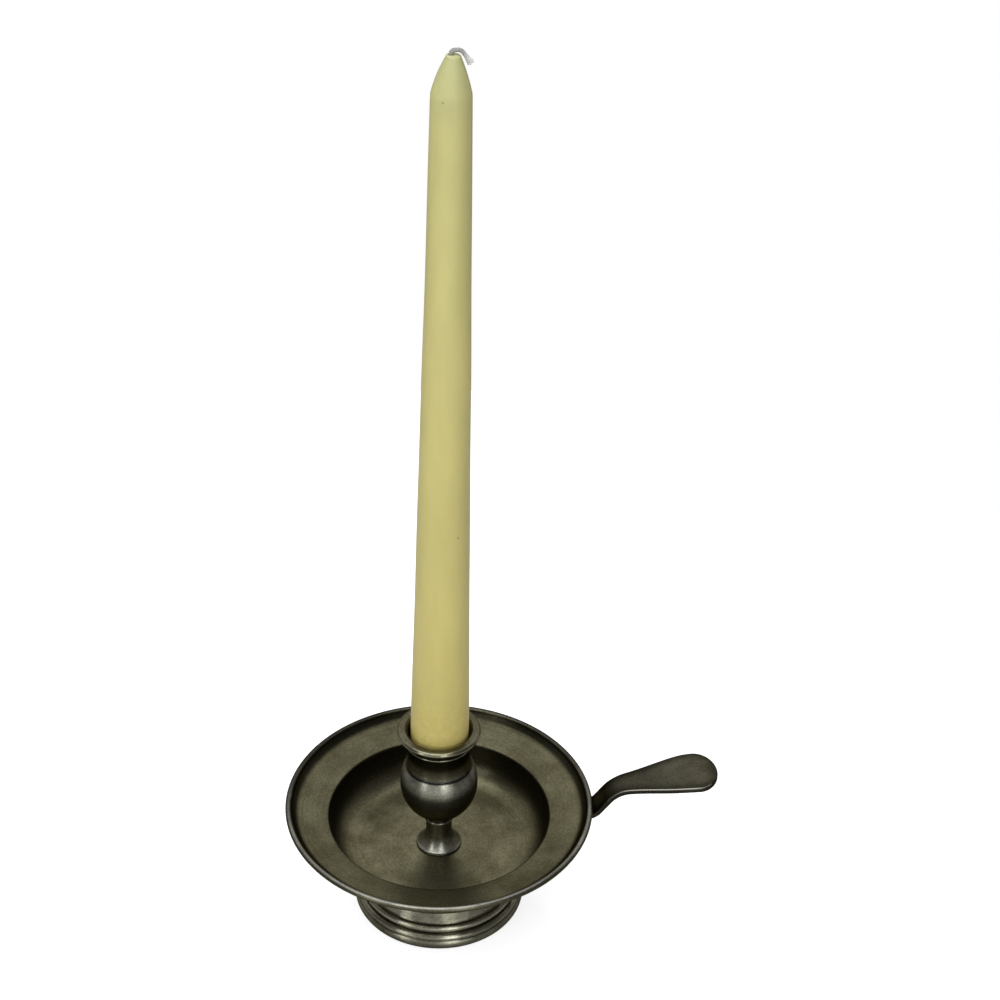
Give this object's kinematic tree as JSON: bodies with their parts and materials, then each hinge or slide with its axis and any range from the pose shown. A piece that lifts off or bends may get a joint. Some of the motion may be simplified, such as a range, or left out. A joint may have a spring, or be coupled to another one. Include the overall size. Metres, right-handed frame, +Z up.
{
  "type": "chamberstick",
  "caption": "Pewter chamberstick: a saucer on a moulded foot with a turned candle socket, a flat spoon-shaped carrying handle and a lift-out wax taper.",
  "frame": {"origin": "on the axis of the candle socket, at the underside of the foot where the holder meets the table", "axes": "+Z up along the socket, +X from the socket along the handle, +Y across the handle"},
  "size_m": [0.1746, 0.1234, 0.3702],
  "materials": {
    "pewter": "satin",
    "steel": "satin",
    "wax": "satin",
    "cotton": "matte"
  },
  "bodies": {
    "holder": {"saucer": "pewter", "foot_ring": "pewter", "socket_stem": "pewter", "socket_cup": "pewter", "handle": "pewter", "socket_screw": "steel", "socket_washer": "steel"},
    "candle": {"candle": "wax", "wick": "cotton"}
  },
  "joints": [
    {"name": "candle_lift", "type": "slide", "parent": "holder", "child": "candle", "axis": [0.014, 0, 0.9999], "range_m": [0, 0.04]}
  ]
}
